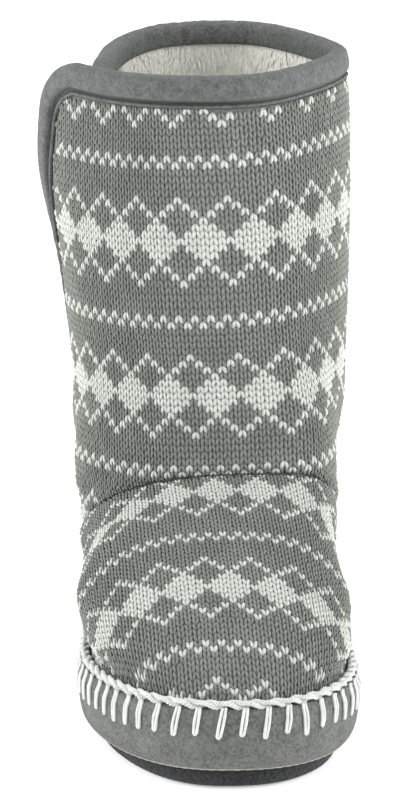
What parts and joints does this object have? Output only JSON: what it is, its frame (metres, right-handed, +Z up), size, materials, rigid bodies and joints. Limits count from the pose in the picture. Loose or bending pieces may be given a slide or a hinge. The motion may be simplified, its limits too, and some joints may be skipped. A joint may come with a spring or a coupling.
{
  "type": "bootie slipper",
  "caption": "Knitted bootie slipper for the right foot, with a wrap shaft, bound collar, white pile lining, suede sidewall and textile outsole.",
  "frame": {"origin": "on the floor under the middle of the heel, on the outsole's flat heel area", "axes": "+Z up, toe towards -Y, inner (big toe) side towards +X"},
  "size_m": [0.1297, 0.2689, 0.2504],
  "materials": {
    "grey_knit": "knitted",
    "grey_knit_vamp": "knitted",
    "grey_fleece": "brushed",
    "grey_suede": "suede",
    "white_yarn": "yarn",
    "white_pile": "pile",
    "charcoal_textile": "textile"
  },
  "bodies": {
    "root": {"outsole": "charcoal_textile", "insole": "white_pile", "sidewall": "grey_suede", "vamp": "grey_knit_vamp", "shaft": "grey_knit", "edge_cord": "white_yarn", "collar_binding": "grey_fleece"}
  },
  "joints": []
}
